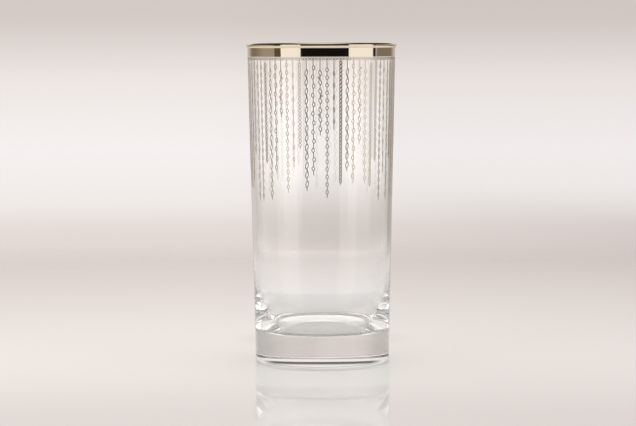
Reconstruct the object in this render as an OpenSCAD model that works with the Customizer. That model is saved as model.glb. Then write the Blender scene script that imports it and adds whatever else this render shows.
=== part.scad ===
// Tall straight-sided tumbler in clear glass, with a heavy base, a bright metal band
// over the lip and a fringe of fine chain lines fired on under the band.
// Origin at the centre of the foot, on the surface that the glass stands on. +Z is up.
// The side seen first faces -Y. Chains hang at angles counted from there, +X side positive.

/* [Glass] */
// Height from the foot to the top of the lip
glass_h = 150; // [130:1:170]
// Outer diameter that the straight wall reaches at the lip
rim_d = 69.4; // [66:0.2:74]
// Outer diameter of the straight wall at the foot
foot_d = 63; // [60:0.2:66]
// Wall thickness at the lip
wall_t = 1.6; // [1.2:0.1:2.2]
// Wall thickness where the inside starts to curve in
low_wall_t = 1.8; // [1.4:0.1:2.6]
// How far the round lip stands out past the wall
lip_flare = 0.6; // [0.4:0.1:0.9]
// Radius of the hollow under the lip
neck_r = 0.4; // [0.2:0.1:0.8]

/* [Base] */
// Solid glass between the foot and the inside floor
base_t = 14; // [10:0.5:20]
// Height above the floor at which the inside starts to curve in
curve_h = 28; // [22:1:34]
// Radius of that long curve
curve_r = 70; // [50:1:90]
// Radius of the corner between the curve and the floor
corner_r = 3.5; // [2:0.5:8]
// Radius of the heel, where the wall turns under
heel_r = 1; // [0.6:0.1:3]
// Width of the flat ring that the glass stands on
ring_w = 4; // [2:0.1:8]
// Height of the shallow dome inside that ring
punt_h = 1.2; // [0.6:0.1:2.5]

/* [Rim band] */
// Depth of the band, from the top of the lip down the outside
band_drop = 6.3; // [4:0.1:10]
// Thickness of the metal
band_t = 0.05; // [0.03:0.01:0.1]

/* [Chain fringe] */
// Number of chains round the glass
chain_count = 68; // [40:2:72]
// Length of the longest chain
fringe_drop = 65.3; // [40:0.1:80]
// Width of a drawn line
line_w = 0.32; // [0.28:0.01:0.4]
// Height of a drawn line above the glass
line_t = 0.05; // [0.03:0.01:0.1]
// Width of the border chain that runs under the band
border_w = 1.3; // [1:0.1:1.3]
// Gap between the band and the border chain
border_gap = 0.3; // [0.2:0.1:1]
// Width of a chain's links
link_w = 1.5; // [1.3:0.05:1.8]
// Link spacing of the cable chains
cable_pitch = 3.5; // [3.2:0.1:5]
// Link spacing of the wave chains
wave_pitch = 4.2; // [3.6:0.1:5]
// Link spacing of the long-link chains
long_pitch = 5.5; // [4.5:0.1:7]
// Link spacing of the rope chains
rope_pitch = 1.75; // [1.6:0.05:2]
// Link spacing of the round-link chains
round_pitch = 1.75; // [1.6:0.05:2]
// Link spacing of the curb chains
curb_pitch = 4.25; // [3.8:0.05:5]
// Link spacing of the figure chains
figure_pitch = 4.25; // [3.8:0.05:5]

/* [Hidden] */
// Steps round a circle, and round the small circles of the chains
$fn = 72;
SMALL_FN = 30;

// Colours of the clear glass and of the fired metal
GLASS = [0.86, 0.9, 0.9, 0.35];
METAL = [0.8, 0.74, 0.66];

// Round stretches of the glass section are drawn in steps of about this angle
STEP_ANGLE = 6;

// The straight wall leans out by this angle
taper = atan((rim_d - foot_d) / 2 / glass_h);
function wall_out(z) = foot_d / 2 + z * tan(taper);

// Round lip: half as thick as the wall and its flare together
lip_r = (wall_t + lip_flare) / 2;
lip_x = wall_out(glass_h) + lip_flare - lip_r;
lip_z = glass_h - lip_r;

// Hollow under the lip, touching the wall and the round of the lip
neck_base = foot_d / 2 + neck_r / cos(taper) + lip_z * tan(taper) - lip_x;
neck_reach = lip_r + neck_r;
neck_slope = 1 + pow(tan(taper), 2);
neck_root = sqrt(pow(neck_base * tan(taper), 2) - neck_slope * (pow(neck_base, 2) - pow(neck_reach, 2)));
neck_z = lip_z - (neck_base * tan(taper) + neck_root) / neck_slope;
neck_x = foot_d / 2 + neck_r / cos(taper) + neck_z * tan(taper);
neck_end = atan2(lip_z - neck_z, lip_x - neck_x);

// Heel
heel_x = foot_d / 2 + heel_r * tan(taper) - heel_r / cos(taper);

// Inside of the wall, straight from the lip down to the start of the long curve
inside_z = base_t + curve_h;
inside_x = wall_out(inside_z) - low_wall_t;
inside_lean = atan((lip_x - lip_r - inside_x) / (lip_z - inside_z));

// Middles of the long curve and of the corner, and the angle at which one runs into the other
curve_x = inside_x - curve_r * cos(inside_lean);
curve_z = inside_z + curve_r * sin(inside_lean);
corner_z = base_t + corner_r;
corner_turn = asin((curve_z - corner_z) / (curve_r - corner_r));
corner_x = curve_x + (curve_r - corner_r) * cos(corner_turn);

// Dome under the foot, as a shallow cap of a sphere
punt_r = heel_x - ring_w;
punt_sphere_r = (pow(punt_r, 2) + pow(punt_h, 2)) / (2 * punt_h);

// Place of the border chain and of the chains' upper ends
border_z = glass_h - band_drop - border_gap - border_w / 2;
fringe_z = border_z - border_w / 2;

// Room between a chain and the curve of the glass
line_seat = 0.01;
// Gap between neighbouring links of the border chain
border_joint = 0.06;
// Tail below the last link of a chain
tail = 0.9;

// The kinds of chain, by number
CABLE = 0;
WAVE = 1;
LONG = 2;
ROPE = 3;
ROUND = 4;
CURB = 5;
FIGURE = 6;

// First chain's angle from the side seen first
first_angle = -85.8;
// One half of the fringe, left to right: the kind of each chain, then its share of fringe_drop.
// The pattern goes round the glass twice.
kind_and_drop_shares = [
    [CABLE, 0.78], [ROUND, 0.89], [ROPE, 0.92], [LONG, 0.85], [CURB, 0.67], [WAVE, 0.995],
    [CABLE, 1], [ROPE, 0.73], [CURB, 0.985], [WAVE, 0.8], [FIGURE, 0.4], [CABLE, 0.93],
    [LONG, 0.75], [ROUND, 0.62], [CURB, 0.915], [WAVE, 0.805], [FIGURE, 0.525], [CABLE, 0.965],
    [LONG, 0.485], [ROPE, 0.875], [CURB, 0.78], [WAVE, 0.86], [FIGURE, 0.59], [CABLE, 0.87],
    [ROPE, 0.895], [ROUND, 0.715], [CABLE, 0.995], [LONG, 0.8], [CURB, 0.99], [ROPE, 0.705],
    [WAVE, 0.975], [CABLE, 0.8], [ROUND, 0.985], [FIGURE, 0.645]
];

// Angles from a to b, and points along an arc between them
function angles(a, b) = let (steps = ceil(abs(b - a) / STEP_ANGLE)) [for (i = [0:steps]) a + (b - a) * i / steps];
function arc(x, z, r, a, b) = [for (t = angles(a, b)) [x + r * cos(t), z + r * sin(t)]];

function reversed(list) = [for (i = [len(list) - 1:-1:0]) list[i]];

// The hollow and the round of the lip, raised by the thickness off
function lip_line(off) = concat(
    arc(neck_x, neck_z, neck_r - off, 180 - taper, neck_end),
    arc(lip_x, lip_z, lip_r + off, neck_end - 180, 180)
);

// Half section of the glass, from the dome under the foot round to the inside floor
function glass_section() = concat(
    [for (t = angles(0, 90)) let (x = punt_r * sin(t))
        [x, punt_h - punt_sphere_r + sqrt(pow(punt_sphere_r, 2) - pow(x, 2))]],
    arc(heel_x, heel_r, heel_r, -90, -taper),
    lip_line(0),
    arc(curve_x, curve_z, curve_r, -inside_lean, -corner_turn),
    arc(corner_x, corner_z, corner_r, -corner_turn, -90),
    [[0, base_t]]
);

module glass_body() {
    color(GLASS)
        rotate_extrude()
            polygon(glass_section());
}

// A shell of metal on the wall and over the lip
module rim_band() {
    band_z = glass_h - band_drop;
    color(METAL)
        rotate_extrude()
            polygon(concat(
                [[wall_out(band_z) + band_t, band_z]],
                lip_line(band_t),
                reversed(lip_line(0)),
                [[wall_out(band_z), band_z]]
            ));
}

// A pointed oval, the overlap of two circles, its long axis up.
// Trimmed by a line's width it leaves the space inside a link.
module pointed_oval(l, w, trim = 0) {
    r = (pow(l, 2) + pow(w, 2)) / (4 * w);
    intersection() {
        translate([w / 2 - r, 0]) circle(r - trim);
        translate([r - w / 2, 0]) circle(r - trim);
    }
}

// Links at a pitch, the lowest with its middle half a pitch above the tail.
// A plain line leads in from the top to the first link. $link is the link's number.
module down_the_chain(drop, pitch) {
    for ($link = [1:floor((drop - tail) / pitch)])
        translate([0, tail - drop + ($link - 1 / 2) * pitch])
            children();
}

// Right for every so many links, left for as many
function side_of(link, run = 1) = floor(link / run) % 2 == 0 ? 1 : -1;

module straight_line(drop) {
    translate([-line_w / 2, -drop]) square([line_w, drop]);
}

// Open links joined by short lines
module cable_chain(drop) {
    link_l = cable_pitch * 3 / 5;
    difference() {
        union() {
            straight_line(drop);
            down_the_chain(drop, cable_pitch) pointed_oval(link_l, link_w);
        }
        down_the_chain(drop, cable_pitch) pointed_oval(link_l, link_w, line_w);
    }
}

// Links set to one side and the other by turns
module wave_chain(drop) {
    link_l = wave_pitch * 4 / 7;
    sway = link_w / 7;
    difference() {
        union() {
            straight_line(drop);
            down_the_chain(drop, wave_pitch)
                translate([side_of($link) * sway, 0]) pointed_oval(link_l, link_w);
        }
        down_the_chain(drop, wave_pitch)
            translate([side_of($link) * sway, 0]) pointed_oval(link_l, link_w, line_w);
    }
}

// Long slim links with a plain stretch between them
module long_link_chain(drop) {
    link_l = long_pitch / 2;
    slim_w = link_w * 2 / 3;
    difference() {
        union() {
            straight_line(drop);
            down_the_chain(drop, long_pitch) pointed_oval(link_l, slim_w);
        }
        down_the_chain(drop, long_pitch) pointed_oval(link_l, slim_w, line_w);
    }
}

// Close links with slanting spaces, as in a twisted rope chain
module rope_chain(drop) {
    link_l = rope_pitch * 5 / 4;
    slot_l = rope_pitch * 6 / 7;
    slot_w = link_w * 2 / 5;
    slant = 30;
    difference() {
        union() {
            straight_line(drop);
            down_the_chain(drop, rope_pitch) pointed_oval(link_l, link_w);
        }
        down_the_chain(drop, rope_pitch) rotate(-slant) pointed_oval(slot_l, slot_w);
    }
}

// Small round links
module round_link_chain(drop) {
    link_r = round_pitch * 3 / 7;
    difference() {
        union() {
            straight_line(drop);
            down_the_chain(drop, round_pitch) circle(link_r, $fn = SMALL_FN);
        }
        down_the_chain(drop, round_pitch) circle(link_r - line_w * 6 / 7, $fn = SMALL_FN);
    }
}

// Slanting links, with a bead at every second joint
module curb_chain(drop) {
    link_l = curb_pitch * 6 / 7;
    slant = 12;
    bead_r = line_w;
    difference() {
        union() {
            straight_line(drop);
            down_the_chain(drop, curb_pitch) {
                rotate(-slant) pointed_oval(link_l, link_w);
                if (side_of($link) > 0)
                    translate([bead_r * 2 / 3, curb_pitch / 2]) circle(bead_r, $fn = SMALL_FN);
            }
        }
        down_the_chain(drop, curb_pitch) rotate(-slant) pointed_oval(link_l, link_w, line_w);
    }
}

// Links that lean the other way, with a small ring at every second joint by turns left and right
module figure_chain(drop) {
    link_l = figure_pitch * 5 / 7;
    slant = 12;
    ring_r = line_w * 7 / 4;
    difference() {
        union() {
            straight_line(drop);
            down_the_chain(drop, figure_pitch) {
                rotate(slant) pointed_oval(link_l, link_w);
                if (side_of($link) > 0)
                    translate([side_of($link, 2) * ring_r, figure_pitch / 2])
                        circle(ring_r, $fn = SMALL_FN);
            }
        }
        down_the_chain(drop, figure_pitch) {
            rotate(slant) pointed_oval(link_l, link_w, line_w);
            if (side_of($link) > 0)
                translate([side_of($link, 2) * ring_r, figure_pitch / 2])
                    circle(ring_r - line_w, $fn = SMALL_FN);
        }
    }
}

module chain(kind, drop) {
    if (kind == CABLE) cable_chain(drop);
    if (kind == WAVE) wave_chain(drop);
    if (kind == LONG) long_link_chain(drop);
    if (kind == ROPE) rope_chain(drop);
    if (kind == ROUND) round_link_chain(drop);
    if (kind == CURB) curb_chain(drop);
    if (kind == FIGURE) figure_chain(drop);
}

// Lays a flat drawing on the leaning wall at a height and an angle
module on_wall(z, angle) {
    rotate(angle)
        translate([0, -wall_out(z), z])
            rotate([90 + taper, 0, 0])
                translate([0, 0, line_seat])
                    linear_extrude(line_t)
                        children();
}

// Every chain of one kind
module chains_of(kind) {
    half = len(kind_and_drop_shares);
    color(METAL)
        for (i = [0:chain_count - 1])
            if (kind_and_drop_shares[i % half][0] == kind)
                on_wall(fringe_z, first_angle + i * 360 / chain_count)
                    chain(kind, fringe_drop * kind_and_drop_shares[i % half][1]);
}

// Two small links over each chain, end to end all the way round
module border_chain() {
    span = 2 * wall_out(border_z) * tan(180 / chain_count) - border_joint;
    color(METAL)
        for (i = [0:chain_count - 1])
            on_wall(border_z, first_angle + i * 360 / chain_count)
                difference() {
                    union() {
                        square([span, line_w], center = true);
                        for (side = [-1, 1])
                            translate([side * span / 4, 0])
                                rotate(90) pointed_oval(span / 2, border_w);
                    }
                    for (side = [-1, 1])
                        translate([side * span / 4, 0])
                            rotate(90) pointed_oval(span / 2, border_w, line_w * 4 / 5);
                }
}

module cable_chains() { chains_of(CABLE); }
module wave_chains() { chains_of(WAVE); }
module long_link_chains() { chains_of(LONG); }
module rope_chains() { chains_of(ROPE); }
module round_link_chains() { chains_of(ROUND); }
module curb_chains() { chains_of(CURB); }
module figure_chains() { chains_of(FIGURE); }

glass_body();
rim_band();
border_chain();
cable_chains();
wave_chains();
long_link_chains();
rope_chains();
round_link_chains();
curb_chains();
figure_chains();
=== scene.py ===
from math import asin, atan, atan2, cos, pi, radians, sin, sqrt, tan

import bmesh
import bpy
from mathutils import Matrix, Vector


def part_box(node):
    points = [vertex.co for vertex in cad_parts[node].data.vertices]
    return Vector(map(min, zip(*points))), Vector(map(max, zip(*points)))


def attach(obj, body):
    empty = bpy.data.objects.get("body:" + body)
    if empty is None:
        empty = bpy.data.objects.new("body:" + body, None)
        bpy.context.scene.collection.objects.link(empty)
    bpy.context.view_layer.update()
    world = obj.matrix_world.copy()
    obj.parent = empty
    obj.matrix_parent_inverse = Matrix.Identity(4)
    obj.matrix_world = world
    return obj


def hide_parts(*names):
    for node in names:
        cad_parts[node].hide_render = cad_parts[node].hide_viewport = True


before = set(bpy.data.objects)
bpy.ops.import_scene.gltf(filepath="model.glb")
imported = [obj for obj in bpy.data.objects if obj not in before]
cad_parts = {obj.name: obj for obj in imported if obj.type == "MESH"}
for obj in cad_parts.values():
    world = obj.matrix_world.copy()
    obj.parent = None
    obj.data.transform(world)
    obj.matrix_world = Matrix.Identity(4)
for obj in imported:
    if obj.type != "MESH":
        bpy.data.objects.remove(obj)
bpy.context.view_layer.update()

# The tumbler
# One piece of clear glass: a straight wall that opens slightly upwards, a thick solid base with
# a shallow dome under it, and a lip melted round in the flame. The outline is drawn as a half
# section from the pole under the foot round to the pole of the inside floor, and spun.
mm = 0.001
glass_low, glass_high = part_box("glass_body")
glass_h = glass_high.z - glass_low.z
rim_r = 34.7 * mm
foot_r = 31.5 * mm
wall_t = 1.6 * mm
low_wall_t = 1.8 * mm
lip_flare = 0.6 * mm
neck_r = 0.4 * mm
heel_r = 1 * mm
ring_w = 4 * mm
punt_h = 1.2 * mm
# The inside narrows to the floor by a wide arc, a closer arc and a small corner
base_t = 14 * mm
ease_h = 36 * mm
ease_r = 260 * mm
ease_turn = radians(3)
curve_r = 61.5 * mm
corner_r = 3.5 * mm
# Short stretches at both ends keep the shading of a long straight line flat
end_stretch = 0.15 * mm
sharp_angle = radians(35)
turns = 288

taper = atan((rim_r - foot_r) / glass_h)


def wall_at(z):
    return foot_r + z * tan(taper)


def neck_place(lip_x, lip_z, lip_r):
    """Centre of the hollow under the lip, which touches the wall and the round of the lip."""
    base = foot_r + neck_r / cos(taper) + lip_z * tan(taper) - lip_x
    reach = lip_r + neck_r
    slope = 1 + tan(taper) ** 2
    root = sqrt((base * tan(taper)) ** 2 - slope * (base ** 2 - reach ** 2))
    z = lip_z - (base * tan(taper) + root) / slope
    return foot_r + neck_r / cos(taper) + z * tan(taper), z


lip_r = (wall_t + lip_flare) / 2
lip_x = wall_at(glass_h) + lip_flare - lip_r
lip_z = glass_h - lip_r
neck_x, neck_z = neck_place(lip_x, lip_z, lip_r)
neck_end = atan2(lip_z - neck_z, lip_x - neck_x)


def start_line(bm, x, z):
    return bm.verts.new((x, 0, z))


def line_to(bm, tip, x, z):
    start, end = tip.co.copy(), Vector((x, 0, z))
    stops = [end]
    if (end - start).length > 4 * end_stretch:
        step = (end - start).normalized() * end_stretch
        stops = [start + step, end - step, end]
    for stop in stops:
        tip = bmesh.ops.extrude_vert_indiv(bm, verts=[tip])["verts"][0]
        tip.co = stop
    return tip


def arc_to(bm, tip, x, z, angle, steps):
    """Swings the tip about (x, z). A positive angle turns from up towards outwards."""
    swung = bmesh.ops.spin(bm, geom=[tip], cent=(x, 0, z), axis=(0, 1, 0), angle=angle, steps=steps)
    return [v for v in swung["geom_last"] if isinstance(v, bmesh.types.BMVert)][0]


def spun_piece(name, bm):
    """Spins the half section about the axis, closes the poles and turns the faces outwards."""
    bmesh.ops.spin(
        bm, geom=bm.verts[:] + bm.edges[:], cent=(0, 0, 0), axis=(0, 0, 1),
        angle=2 * pi, steps=turns, use_merge=True,
    )
    bmesh.ops.remove_doubles(bm, verts=bm.verts, dist=1e-7)
    bmesh.ops.recalc_face_normals(bm, faces=bm.faces)
    for face in bm.faces:
        face.smooth = True
    for edge in bm.edges:
        edge.smooth = edge.calc_face_angle() < sharp_angle
    mesh = bpy.data.meshes.new(name)
    bm.to_mesh(mesh)
    bm.free()
    piece = bpy.data.objects.new(name, mesh)
    bpy.context.scene.collection.objects.link(piece)
    return piece


def glass_outline():
    bm = bmesh.new()
    heel_x = foot_r + heel_r * tan(taper) - heel_r / cos(taper)
    punt_r = heel_x - ring_w
    sphere_r = (punt_r ** 2 + punt_h ** 2) / (2 * punt_h)
    tip = start_line(bm, 0, punt_h)
    tip = arc_to(bm, tip, 0, punt_h - sphere_r, asin(punt_r / sphere_r), steps=16)
    tip = line_to(bm, tip, heel_x, 0)
    tip = arc_to(bm, tip, heel_x, heel_r, taper - pi / 2, steps=16)
    wall_top_z = neck_z + neck_r * sin(taper)
    tip = line_to(bm, tip, wall_at(wall_top_z), wall_top_z)
    tip = arc_to(bm, tip, neck_x, neck_z, pi - taper - neck_end, steps=10)
    tip = arc_to(bm, tip, lip_x, lip_z, neck_end - 2 * pi, steps=32)
    inside_z = base_t + ease_h
    inside_x = wall_at(inside_z) - low_wall_t
    lean = atan((tip.co.x - inside_x) / (tip.co.z - inside_z))
    ease_x = inside_x - ease_r * cos(lean)
    ease_z = inside_z + ease_r * sin(lean)
    curve_turn = lean + ease_turn
    curve_x = ease_x + (ease_r - curve_r) * cos(curve_turn)
    curve_z = ease_z - (ease_r - curve_r) * sin(curve_turn)
    corner_turn = asin((curve_z - base_t - corner_r) / (curve_r - corner_r))
    corner_x = curve_x + (curve_r - corner_r) * cos(corner_turn)
    tip = line_to(bm, tip, inside_x, inside_z)
    tip = arc_to(bm, tip, ease_x, ease_z, ease_turn, steps=12)
    tip = arc_to(bm, tip, curve_x, curve_z, corner_turn - curve_turn, steps=24)
    tip = arc_to(bm, tip, corner_x, base_t + corner_r, pi / 2 - corner_turn, steps=16)
    line_to(bm, tip, 0, base_t)
    return bm


def new_material(name):
    material = bpy.data.materials.new(name)
    material.use_nodes = True
    tree = material.node_tree
    return material, tree, tree.nodes["Principled BSDF"]


def clear_glass():
    """Clear polished glass. The flame leaves faint upright ripples on the wall."""
    material, tree, surface = new_material("clear_glass")
    surface.inputs["Base Color"].default_value = (1, 1, 1, 1)
    surface.inputs["Roughness"].default_value = 0
    surface.inputs["IOR"].default_value = 1.5
    surface.inputs["Transmission Weight"].default_value = 1
    surface.inputs["Specular Tint"].default_value = (0.55, 0.55, 0.55, 1)
    place = tree.nodes.new("ShaderNodeTexCoord")
    stretch = tree.nodes.new("ShaderNodeMapping")
    stretch.inputs["Scale"].default_value = (1, 1, 0.2)
    tree.links.new(place.outputs["Object"], stretch.inputs["Vector"])
    ripple = tree.nodes.new("ShaderNodeTexNoise")
    ripple.inputs["Scale"].default_value = 60
    ripple.inputs["Detail"].default_value = 1
    tree.links.new(stretch.outputs["Vector"], ripple.inputs["Vector"])
    bump = tree.nodes.new("ShaderNodeBump")
    bump.inputs["Strength"].default_value = 1
    bump.inputs["Distance"].default_value = 0.02 * mm
    tree.links.new(ripple.outputs["Fac"], bump.inputs["Height"])
    tree.links.new(bump.outputs["Normal"], surface.inputs["Normal"])
    return material


glass = spun_piece("tumbler_glass", glass_outline())
glass.data.materials.append(clear_glass())
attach(glass, "root")
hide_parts("glass_body")

# The metal band
# Bright metal brushed on in a lathe as liquid paint and fired, a few thousandths of a
# millimetre thick. It runs down the outside of the wall and wraps over the lip.
band_drop = 6.3 * mm
band_t = 0.05 * mm
band_sink = 0.01 * mm


def band_outline():
    bm = bmesh.new()
    band_z = glass_h - band_drop
    outer_neck_r = neck_r - band_t
    first = start_line(bm, wall_at(band_z) + band_t, band_z)
    tip = line_to(bm, first, neck_x - outer_neck_r * cos(taper), neck_z + outer_neck_r * sin(taper))
    tip = arc_to(bm, tip, neck_x, neck_z, pi - taper - neck_end, steps=12)
    tip = arc_to(bm, tip, lip_x, lip_z, neck_end - 2 * pi, steps=40)
    tip = line_to(bm, tip, lip_x - lip_r + band_sink, lip_z)
    tip = arc_to(bm, tip, lip_x, lip_z, 2 * pi - neck_end, steps=40)
    tip = arc_to(bm, tip, neck_x, neck_z, neck_end + taper - pi, steps=12)
    tip = line_to(bm, tip, wall_at(band_z) - band_sink, band_z)
    bm.edges.new((tip, first))
    return bm


def spread(tree, value, start, end, low=0, high=1, smooth=False):
    """Goes from low to high while the value goes from start to end."""
    node = tree.nodes.new("ShaderNodeMapRange")
    if smooth:
        node.interpolation_type = "SMOOTHSTEP"
    node.inputs["From Min"].default_value = start
    node.inputs["From Max"].default_value = end
    node.inputs["To Min"].default_value = low
    node.inputs["To Max"].default_value = high
    tree.links.new(value, node.inputs["Value"])
    return node.outputs["Result"]


def metal(name, color, roughness, roughness_swing, grain_scale, grain_height):
    """Fired metal: a warm mirror with fine unevenness in its gloss and its surface."""
    material, tree, surface = new_material(name)
    surface.inputs["Base Color"].default_value = color
    surface.inputs["Metallic"].default_value = 1
    place = tree.nodes.new("ShaderNodeTexCoord")
    grain = tree.nodes.new("ShaderNodeTexNoise")
    grain.inputs["Scale"].default_value = grain_scale
    grain.inputs["Detail"].default_value = 3
    tree.links.new(place.outputs["Object"], grain.inputs["Vector"])
    gloss = spread(tree, grain.outputs["Fac"], 0, 1, low=roughness, high=roughness + roughness_swing)
    tree.links.new(gloss, surface.inputs["Roughness"])
    bump = tree.nodes.new("ShaderNodeBump")
    bump.inputs["Strength"].default_value = 1
    bump.inputs["Distance"].default_value = grain_height
    tree.links.new(grain.outputs["Fac"], bump.inputs["Height"])
    tree.links.new(bump.outputs["Normal"], surface.inputs["Normal"])
    return material


band_metal = metal(
    "fired_metal_band", color=(0.98, 0.87, 0.71, 1), roughness=0.03, roughness_swing=0.05,
    grain_scale=400, grain_height=0.001 * mm,
)
band = spun_piece("metal_band", band_outline())
band.data.materials.append(band_metal)
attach(band, "root")
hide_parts("rim_band")

# The fringe of chains
# Screen-printed in the same metal and fired with the band: a border of small links, and
# sixty-eight fine chains of seven kinds that hang from it. Their solids have the true drawing.
far_side_cover = 0.12
edge_on = 0.001


def thin_from_behind(material):
    """The film covers well on the side that was printed on. Seen from the glass side it is faint."""
    tree = material.node_tree
    place = tree.nodes.new("ShaderNodeTexCoord")
    outward = tree.nodes.new("ShaderNodeVectorMath")
    outward.operation = "MULTIPLY"
    outward.inputs[1].default_value = (1, 1, 0)
    tree.links.new(place.outputs["Object"], outward.inputs[0])
    facing = tree.nodes.new("ShaderNodeVectorMath")
    facing.operation = "DOT_PRODUCT"
    tree.links.new(outward.outputs["Vector"], facing.inputs[0])
    tree.links.new(tree.nodes.new("ShaderNodeNewGeometry").outputs["Normal"], facing.inputs[1])
    cover = spread(tree, facing.outputs["Value"], -edge_on, edge_on, low=far_side_cover, high=1)
    tree.links.new(cover, tree.nodes["Principled BSDF"].inputs["Alpha"])


lines = metal(
    "fired_metal_lines", color=(0.60, 0.505, 0.395, 1), roughness=0.18, roughness_swing=0.12,
    grain_scale=900, grain_height=0.004 * mm,
)
thin_from_behind(lines)
for name in (
    "border_chain", "cable_chains", "wave_chains", "long_link_chains",
    "rope_chains", "round_link_chains", "curb_chains", "figure_chains",
):
    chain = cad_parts[name]
    chain.data.materials.clear()
    chain.data.materials.append(lines)

# The table
# A pale glossy table top under the glass, which fades into the backdrop behind it. Painted light
# makes a pale round under its foot for the light the glass gathers, and painted shade darkens the
# table a little behind it.
table_r = 0.72
table_fade_r = 0.42
table_tone = (0.93, 0.885, 0.855, 1)
# Painted light: the table's colour is paler in a soft round under the foot
painted_light_pool_tone = (1, 0.985, 0.965, 1)
painted_pool_blur = 0.05 * foot_r
# Painted shade: the table's colour is darker in a soft patch behind the glass
painted_shade_tone = (0.83, 0.79, 0.76, 1)
shade_place = (0, 0.088, 0)
shade_r = 0.03
shade_fade_r = 0.05


def table_top():
    bm = bmesh.new()
    bmesh.ops.create_circle(bm, cap_ends=True, segments=128, radius=table_r)
    mesh = bpy.data.meshes.new("table_top")
    bm.to_mesh(mesh)
    bm.free()
    top = bpy.data.objects.new("table_top", mesh)
    bpy.context.scene.collection.objects.link(top)
    return top


def mix_color(tree, share, first, second):
    """The first colour where the share is 0, the second where it is 1."""
    node = tree.nodes.new("ShaderNodeMix")
    node.data_type = "RGBA"
    sockets = {s.identifier: s for s in node.inputs}
    for name, value in (("Factor_Float", share), ("A_Color", first), ("B_Color", second)):
        if isinstance(value, tuple):
            sockets[name].default_value = value
        else:
            tree.links.new(value, sockets[name])
    return {s.identifier: s for s in node.outputs}["Result_Color"]


def distance(tree, place, point):
    node = tree.nodes.new("ShaderNodeVectorMath")
    node.operation = "DISTANCE"
    node.inputs[1].default_value = point
    tree.links.new(place, node.inputs[0])
    return node.outputs["Value"]


def table_finish():
    material, tree, surface = new_material("table_finish")
    surface.inputs["Roughness"].default_value = 0.05
    surface.inputs["IOR"].default_value = 1.45
    place = tree.nodes.new("ShaderNodeTexCoord").outputs["Object"]
    reach = distance(tree, place, (0, 0, 0))
    # Painted shade: a darker patch behind the glass, painted into the table's colour
    unshaded = spread(tree, distance(tree, place, shade_place), shade_r, shade_fade_r, smooth=True)
    # Painted light: a paler round under the foot, painted into the table's colour
    beyond_painted_pool = spread(tree, reach, foot_r - painted_pool_blur, foot_r + painted_pool_blur)
    tone = mix_color(tree, unshaded, painted_shade_tone, table_tone)
    tone = mix_color(tree, beyond_painted_pool, painted_light_pool_tone, tone)
    tree.links.new(tone, surface.inputs["Base Color"])
    fade = spread(tree, reach, table_fade_r, table_r, smooth=True)
    clear = tree.nodes.new("ShaderNodeBsdfTransparent")
    blend = tree.nodes.new("ShaderNodeMixShader")
    tree.links.new(fade, blend.inputs["Fac"])
    tree.links.new(surface.outputs["BSDF"], blend.inputs[1])
    tree.links.new(clear.outputs["BSDF"], blend.inputs[2])
    tree.links.new(blend.outputs["Shader"], tree.nodes["Material Output"].inputs["Surface"])
    return material


table = table_top()
table.data.materials.append(table_finish())

# The backdrop
# Pale paper behind the glass, with a soft darker stretch where it curves down to the table. It
# is seen beside the glass and, with its tones moved up a little by the wall, through it.


def srgb(r, g, b):
    """A colour as read from a screen, 0 to 255, in the linear values that shaders take."""
    def one(c):
        c /= 255
        return c / 12.92 if c <= 0.04045 else ((c + 0.055) / 1.055) ** 2.4
    return one(r), one(g), one(b), 1


def ramp(tree, value, low, high, stops):
    """Colours at the given values, blended between."""
    colors = tree.nodes.new("ShaderNodeValToRGB")
    tree.links.new(spread(tree, value, low, high), colors.inputs["Fac"])
    elements = colors.color_ramp.elements
    while len(elements) > 1:
        elements.remove(elements[0])
    for i, (at, color) in enumerate(stops):
        place = (at - low) / (high - low)
        stop = elements[0] if i == 0 else elements.new(place)
        stop.position = place
        stop.color = color
    return colors.outputs["Color"]


def math_node(tree, operation, *values):
    node = tree.nodes.new("ShaderNodeMath")
    node.operation = operation
    for socket, value in zip(node.inputs, values):
        if isinstance(value, (int, float)):
            socket.default_value = value
        else:
            tree.links.new(value, socket)
    return node.outputs["Value"]


world = bpy.data.worlds.new("room")
bpy.context.scene.world = world
world.use_nodes = True
room = world.node_tree
room.nodes.clear()
path = room.nodes.new("ShaderNodeLightPath").outputs
way = room.nodes.new("ShaderNodeTexCoord").outputs["Generated"]
parts = room.nodes.new("ShaderNodeSeparateXYZ")
room.links.new(way, parts.inputs["Vector"])
x, y, z = (parts.outputs[n] for n in "XYZ")
# Height above the level, and turn about the upright from straight ahead, in degrees
height = math_node(room, "DEGREES", math_node(room, "ARCSINE", z))
turn = math_node(room, "DEGREES", math_node(room, "ARCTAN2", x, math_node(room, "MULTIPLY", y, -1)))

beside_glass = ramp(room, height, -10, 20, [
    (-9, srgb(228, 219, 215)), (-7.6, srgb(236, 229, 226)), (-7, srgb(239, 232, 229)),
    (-6, srgb(232, 224, 220)), (-5.1, srgb(223, 213, 209)), (-4.3, srgb(229, 220, 216)),
    (-3.7, srgb(241, 235, 232)), (-2.5, srgb(246, 241, 240)), (-0.9, srgb(238, 231, 228)),
    (0.5, srgb(213, 204, 199)), (2, srgb(208, 198, 193)), (6, srgb(208, 198, 193)),
    (14, srgb(255, 252, 250)),
])
through_glass = ramp(room, height, -10, 20, [
    (-9, srgb(236, 228, 224)), (-6.5, srgb(253, 245, 240)), (-5.2, srgb(244, 236, 231)),
    (-5, srgb(223, 214, 209)), (-4.72, srgb(213, 204, 199)), (-4.45, srgb(213, 205, 199)),
    (-4.15, srgb(219, 210, 205)), (-3.6, srgb(237, 231, 227)), (-3.1, srgb(253, 247, 243)),
    (-1.9, srgb(254, 248, 244)), (-1.1, srgb(248, 239, 233)), (-0.5, srgb(238, 227, 219)),
    (0.5, srgb(222, 213, 208)), (6, srgb(208, 198, 193)), (14, srgb(255, 252, 250)),
])
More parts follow.
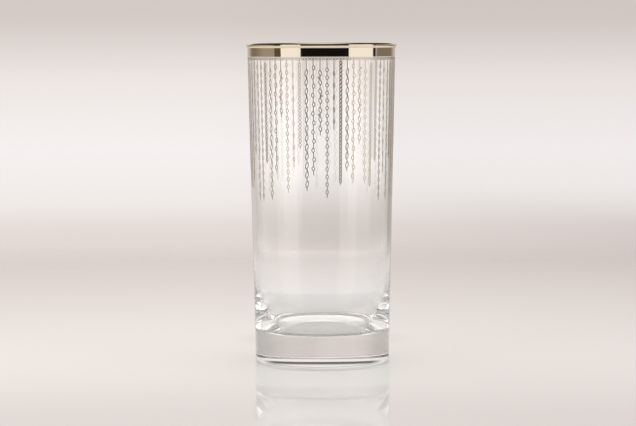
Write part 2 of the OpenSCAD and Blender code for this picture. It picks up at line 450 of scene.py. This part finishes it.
# The backdrop is lit a little more from the left, above all where it nears the table
middle_light = 0.965
light_fall = -0.8
upright_least = 0.955
table_least = 0.865
across = math_node(room, "MULTIPLY_ADD", x, light_fall, middle_light)
from_level = math_node(room, "ABSOLUTE", height)
least = spread(room, from_level, 3.3, 4.2, low=upright_least, high=table_least)
across = math_node(room, "MAXIMUM", across, least)
black = (0, 0, 0, 1)
backdrop = mix_color(room, path["Is Transmission Ray"], beside_glass, through_glass)
backdrop = mix_color(room, across, black, backdrop)

# The room that shows in the metal and the table
# Dark in front and high up, dim at both sides and pale behind. The mirror of the backdrop in
# the table is more even where it is seen through the glass.
dark = (0.006, 0.005, 0.004, 1)
gloom = (0.03, 0.024, 0.018, 1)
dim = (0.09, 0.073, 0.046, 1)
side = (0.2, 0.168, 0.125, 1)
left_side = (0.33, 0.277, 0.22, 1)
light_side = (0.48, 0.44, 0.42, 1)
behind = (0.78, 0.75, 0.72, 1)
overhead = (1, 0.98, 0.955, 1)

around = ramp(room, turn, -180, 180, [
    (-180, behind), (-168, behind), (-160, light_side), (-150, side), (-125, side),
    (-100, left_side), (-79, left_side), (-77.5, dim), (-66, dim), (-62, dark), (87, dark),
    (93, dark), (93.5, light_side), (95.5, light_side), (96, side), (150, side),
    (160, light_side), (168, behind), (180, behind),
])
back_half = math_node(room, "GREATER_THAN", y, 0)
raised = math_node(room, "MULTIPLY", spread(room, height, 3, 6), back_half)
around = mix_color(room, raised, around, light_side)
around = mix_color(room, spread(room, height, 10, 20), around, gloom)
around = mix_color(room, spread(room, height, 62, 78), around, overhead)
table_mirror = ramp(room, height, 0, 20, [
    (4.5, srgb(198, 184, 179)), (5.1, srgb(208, 194, 189)), (6, srgb(233, 221, 215)),
    (7.2, srgb(255, 247, 242)), (7.9, srgb(246, 237, 232)), (8.6, srgb(218, 205, 200)),
    (11, srgb(214, 206, 200)), (14, srgb(255, 252, 250)),
])
even_mirror = ramp(room, height, 0, 20, [
    (4.5, srgb(198, 184, 179)), (5.1, srgb(208, 194, 189)), (6, srgb(224, 212, 206)),
    (7.2, srgb(230, 220, 215)), (8.6, srgb(238, 229, 224)), (11, srgb(246, 238, 233)),
    (14, srgb(255, 252, 250)),
])
past_glass = math_node(room, "GREATER_THAN", path["Transmission Depth"], 0.5)
table_mirror = mix_color(room, past_glass, table_mirror, even_mirror)
table_mirror = mix_color(room, across, black, table_mirror)
mirrored = mix_color(room, spread(room, y, 0.75, 0.93), around, table_mirror)

# The room that light finds after turning about inside the glass
# Soft boxes glow at both sides and the ceiling is pale. Behind, the paper ends in a dark strip
# below the ceiling, and darker stands at both sides of it show in the edges of the wall.
glow = (0.85, 0.83, 0.80, 1)
half_glow = (0.45, 0.43, 0.42, 1)
pale = (0.88, 0.84, 0.805, 1)
bright = (1, 0.945, 0.895, 1)
dark_strip = (0.13, 0.11, 0.095, 1)
left_stand = (0.7, 0.66, 0.62, 1)
right_stand = (0.46, 0.42, 0.385, 1)

low_glow = ramp(room, turn, -180, 180, [
    (-180, behind), (-100, glow), (-34, glow), (-29, half_glow), (42, half_glow),
    (47, glow), (100, glow), (180, behind),
])
inner = mix_color(room, spread(room, height, 15, 28), low_glow, overhead)
paper = ramp(room, height, -90, 90, [
    (-90, pale), (9.5, pale), (11.5, dark_strip), (15, dark_strip), (19, pale), (90, overhead),
])
# The floor inside, which is seen through the wall, mirrors the paper without the strip
floor_paper = ramp(room, height, -90, 90, [
    (-90, pale), (-2, pale), (0, bright), (19, bright), (90, overhead),
])
stands = ramp(room, x, -1, 1, [
    (-0.07, left_stand), (-0.03, pale), (0.01, pale), (0.04, right_stand),
])
past_wall = math_node(room, "GREATER_THAN", path["Transmission Depth"], 2.5)
below_level = math_node(room, "LESS_THAN", height, 0)
paper = mix_color(room, past_wall, paper, floor_paper)
paper = mix_color(room, below_level, paper, stands)
inner = mix_color(room, spread(room, y, 0.6, 0.8), inner, paper)

# What each ray sees
# Straight looks find the backdrop, mirrors their room, and turned light its own. The table is
# lit evenly by the whole room, and from above where the glass gathers light on it.
even_light = (0.8, 0.8, 0.8, 1)
unmirrored = math_node(room, "LESS_THAN", path["Glossy Depth"], 0.5)
clear_look = math_node(room, "MULTIPLY", path["Is Transmission Ray"], unmirrored)
direct = math_node(room, "MAXIMUM", path["Is Camera Ray"], clear_look)
seen = mix_color(room, path["Is Glossy Ray"], even_light, mirrored)
seen = mix_color(room, path["Is Transmission Ray"], seen, inner)
seen = mix_color(room, direct, seen, backdrop)
gathered = math_node(room, "MULTIPLY", path["Is Transmission Ray"], path["Diffuse Depth"])
gathered = math_node(room, "GREATER_THAN", gathered, 0.5)
seen = mix_color(room, gathered, seen, overhead)
background = room.nodes.new("ShaderNodeBackground")
room.links.new(seen, background.inputs["Color"])
output = room.nodes.new("ShaderNodeOutputWorld")
room.links.new(background.outputs["Background"], output.inputs["Surface"])

# The lamps
# Two tall soft boxes, one on either side in front of the glass. They show as the two pale
# fields in the metal band and as faint upright streaks on the glass.
lamp_away = 1.1
lamp_target_z = 0.15
lamp_low = radians(-12)
lamp_high = radians(30)
lamp_strength = 0.9
lamp_color = (1, 0.985, 0.96)


def soft_box(name, turn, width_angle):
    """A soft box that covers the given width and the heights above, as seen from the lip."""
    low = lamp_target_z + lamp_away * tan(lamp_low)
    high = lamp_target_z + lamp_away * tan(lamp_high)
    light = bpy.data.lights.new(name, "AREA")
    light.shape = "RECTANGLE"
    light.size = 2 * lamp_away * tan(width_angle / 2)
    light.size_y = high - low
    light.energy = lamp_strength * pi * light.size * light.size_y
    light.color = lamp_color
    lamp = bpy.data.objects.new(name, light)
    lamp.location = (lamp_away * sin(turn), -lamp_away * cos(turn), (low + high) / 2)
    lamp.rotation_euler = (pi / 2, 0, turn)
    lamp.visible_camera = False
    bpy.context.scene.collection.objects.link(lamp)


soft_box("left_soft_box", turn=radians(-48.5), width_angle=radians(33))
soft_box("right_soft_box", turn=radians(64.5), width_angle=radians(44))

# The camera
# Level with the lip, a little over a metre away, looking slightly down.
camera_away = 1.15
camera_side = -0.00155
camera_roll = radians(0.2)
camera_pitch = radians(-3.984)
camera = bpy.data.objects.new("camera", bpy.data.cameras.new("camera"))
camera.data.lens = 138.2
camera.data.sensor_width = 36
camera.location = (camera_side, -camera_away, glass_h)
camera.rotation_euler = (pi / 2 + camera_pitch, camera_roll, 0)
bpy.context.scene.collection.objects.link(camera)
bpy.context.scene.camera = camera
bpy.context.scene.view_settings.view_transform = "Standard"
# Light is thrown to and fro many times in the thick base
bpy.context.scene.cycles.max_bounces = 32
bpy.context.scene.cycles.glossy_bounces = 24
bpy.context.scene.cycles.transmission_bounces = 32
